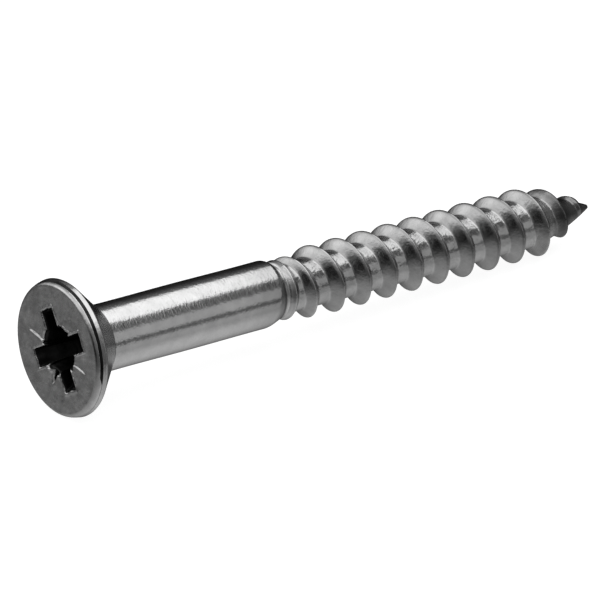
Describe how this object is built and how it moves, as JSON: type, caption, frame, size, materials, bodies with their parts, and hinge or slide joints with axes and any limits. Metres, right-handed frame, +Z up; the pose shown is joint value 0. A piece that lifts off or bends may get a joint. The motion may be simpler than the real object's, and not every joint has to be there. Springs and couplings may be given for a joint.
{
  "type": "wood screw",
  "caption": "Partly threaded countersunk wood screw with a cross recess, a plain shank and a tapered point, in bright steel.",
  "frame": {"origin": "centre of the flat face of the head, on the screw's axis", "axes": "+X along the axis from the head to the tip, +Z up with the screw lying down"},
  "size_m": [0.0446, 0.0092, 0.0092],
  "materials": {
    "head_steel": "cold-headed steel, bright plated, grey mottle and small dents on the flat",
    "shank_steel": "drawn wire, smooth bright plating with faint drawing lines along the axis",
    "thread_steel": "rolled steel, smooth flanks, cross ripples from rolling at the root",
    "point_steel": "rolled and pinched steel, darker and rougher than the thread"
  },
  "bodies": {
    "root": {"head": "head_steel", "shank": "shank_steel", "thread_core": "thread_steel", "thread_ridge": "thread_steel", "point": "point_steel"}
  },
  "joints": []
}
